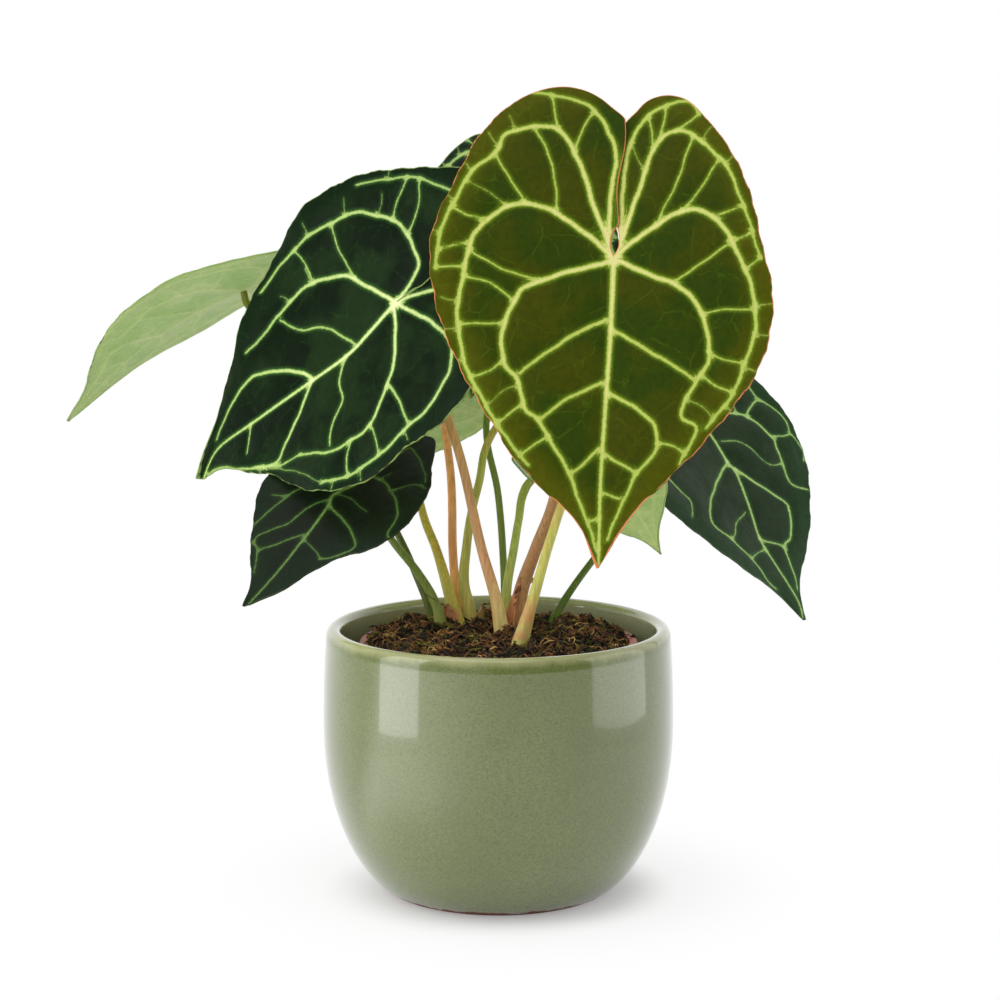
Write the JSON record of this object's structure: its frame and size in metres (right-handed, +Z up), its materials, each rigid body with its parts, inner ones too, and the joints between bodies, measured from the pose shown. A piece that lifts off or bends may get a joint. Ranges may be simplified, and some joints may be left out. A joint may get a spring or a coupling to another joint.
{
  "type": "potted anthurium",
  "caption": "House plant with broad heart-shaped, pale-veined leaves on slender stalks, rooted in mossy soil in a round glazed stoneware pot with an inner nursery pot.",
  "frame": {"origin": "centre of the pot's flat foot, on the surface the pot stands on", "axes": "+Z up along the pot's axis; -Y is the front, the side the large front leaf faces; +X is the viewer's right"},
  "size_m": [0.3278, 0.2365, 0.3316],
  "materials": {
    "glazed_stoneware": "glossy sage glaze, thin and tan at the lip, bare clay foot",
    "nursery_plastic": "terracotta-coloured moulded plastic",
    "mossy_soil": "damp brown fibres with green and straw-coloured moss",
    "stalk": "smooth green to pink-tan plant stalk",
    "young_blade": "olive, satin, with pale yellow-green veins and an orange rim",
    "mature_blade": "dark velvety green with light green veins, pale green beneath",
    "sheath": "papery, pink to straw-coloured"
  },
  "bodies": {
    "root": {"pot": "glazed_stoneware", "nursery_pot": "nursery_plastic", "soil": "mossy_soil", "front_petiole": "stalk", "front_blade": "young_blade", "left_petiole": "stalk", "left_blade": "mature_blade", "low_petiole": "stalk", "low_blade": "mature_blade", "right_petiole": "stalk", "right_blade": "mature_blade", "back_petiole": "stalk", "back_blade": "mature_blade", "middle_petiole": "stalk", "middle_blade": "mature_blade", "top_petiole": "stalk", "top_blade": "mature_blade", "rear_petiole": "stalk", "rear_blade": "mature_blade", "inner_petiole": "stalk", "inner_blade": "mature_blade", "centre_petiole": "stalk", "centre_blade": "mature_blade", "under_petiole": "stalk", "under_blade": "mature_blade", "pink_sheath": "sheath", "red_sheath": "sheath", "straw_sheath": "sheath"}
  },
  "joints": []
}
